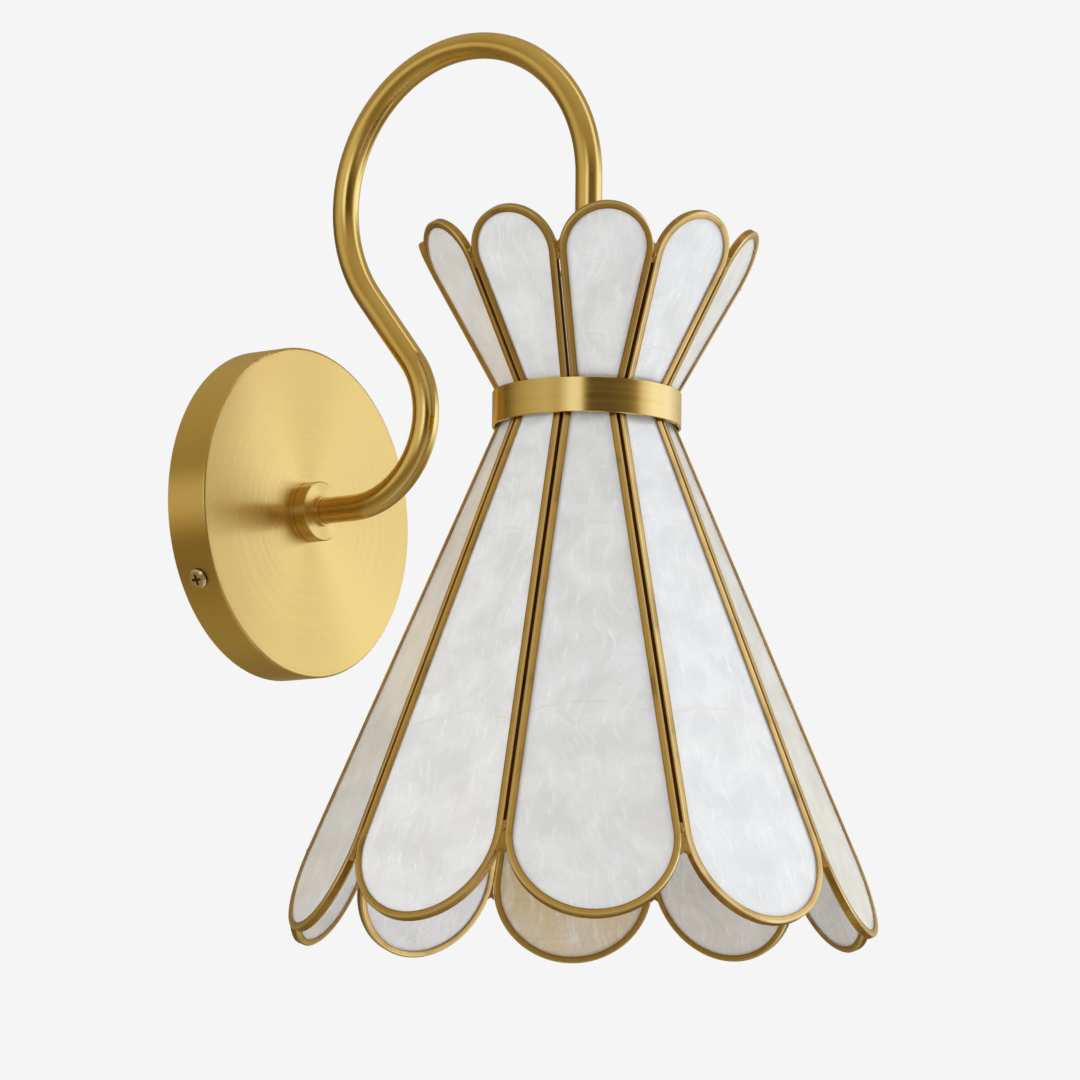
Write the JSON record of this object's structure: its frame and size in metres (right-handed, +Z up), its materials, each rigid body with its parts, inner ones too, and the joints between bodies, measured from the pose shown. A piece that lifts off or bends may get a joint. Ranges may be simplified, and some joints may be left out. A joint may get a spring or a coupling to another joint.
{
  "type": "wall sconce",
  "caption": "Wall sconce: a brass swan neck on a round plate carries a flared shade of framed capiz-shell petals with a ringed waist and a short crown.",
  "frame": {"origin": "centre of the wall plate's back, on the wall", "axes": "+Z up, +Y into the wall, so the light stands out towards -Y; +X to the right of a person facing the wall"},
  "size_m": [0.2042, 0.2391, 0.3279],
  "materials": {
    "satin_brass": "brushed satin, clear lacquered",
    "aged_brass": "antiqued, satin",
    "capiz_shell": "pearly capiz shell, laminated and polished",
    "zinc_steel": "zinc plated",
    "green_screw": "green earth screw",
    "solder": "brass-toned solder",
    "holder_plastic": "moulded, white",
    "contact_brass": "bright",
    "bulb_cap_metal": "rolled",
    "opal_glass": "opal"
  },
  "bodies": {
    "fixture": {"backplate": "satin_brass", "cover_screws": "aged_brass", "crown_frame_01": "aged_brass", "crown_frame_02": "aged_brass", "crown_frame_03": "aged_brass", "crown_frame_04": "aged_brass", "crown_frame_05": "aged_brass", "crown_frame_06": "aged_brass", "crown_frame_07": "aged_brass", "crown_frame_08": "aged_brass", "crown_frame_09": "aged_brass", "crown_frame_10": "aged_brass", "crown_shell_01": "capiz_shell", "crown_shell_02": "capiz_shell", "crown_shell_03": "capiz_shell", "crown_shell_04": "capiz_shell", "crown_shell_05": "capiz_shell", "crown_shell_06": "capiz_shell", "crown_shell_07": "capiz_shell", "crown_shell_08": "capiz_shell", "crown_shell_09": "capiz_shell", "crown_shell_10": "capiz_shell", "ground_screw": "green_screw", "hub_collar": "satin_brass", "hub_lock_washer": "zinc_steel", "hub_nut": "zinc_steel", "lampholder_body": "holder_plastic", "lampholder_cap": "holder_plastic", "lampholder_contact": "contact_brass", "lampholder_sleeve": "contact_brass", "shade_carrier": "zinc_steel", "shade_nut": "zinc_steel", "skirt_frame_01": "aged_brass", "skirt_frame_02": "aged_brass", "skirt_frame_03": "aged_brass", "skirt_frame_04": "aged_brass", "skirt_frame_05": "aged_brass", "skirt_frame_06": "aged_brass", "skirt_frame_07": "aged_brass", "skirt_frame_08": "aged_brass", "skirt_frame_09": "aged_brass", "skirt_frame_10": "aged_brass", "skirt_shell_01": "capiz_shell", "skirt_shell_02": "capiz_shell", "skirt_shell_03": "capiz_shell", "skirt_shell_04": "capiz_shell", "skirt_shell_05": "capiz_shell", "skirt_shell_06": "capiz_shell", "skirt_shell_07": "capiz_shell", "skirt_shell_08": "capiz_shell", "skirt_shell_09": "capiz_shell", "skirt_shell_10": "capiz_shell", "solder_joints": "solder", "swan_neck_tube": "satin_brass", "waist_ring": "satin_brass", "wall_bracket": "zinc_steel"},
    "bulb": {"bulb_cap": "bulb_cap_metal", "bulb_glass": "opal_glass"}
  },
  "joints": [
    {"name": "bulb_out", "type": "slide", "parent": "fixture", "child": "bulb", "axis": [0, 0, -1], "range_m": [0, 0.03]}
  ]
}
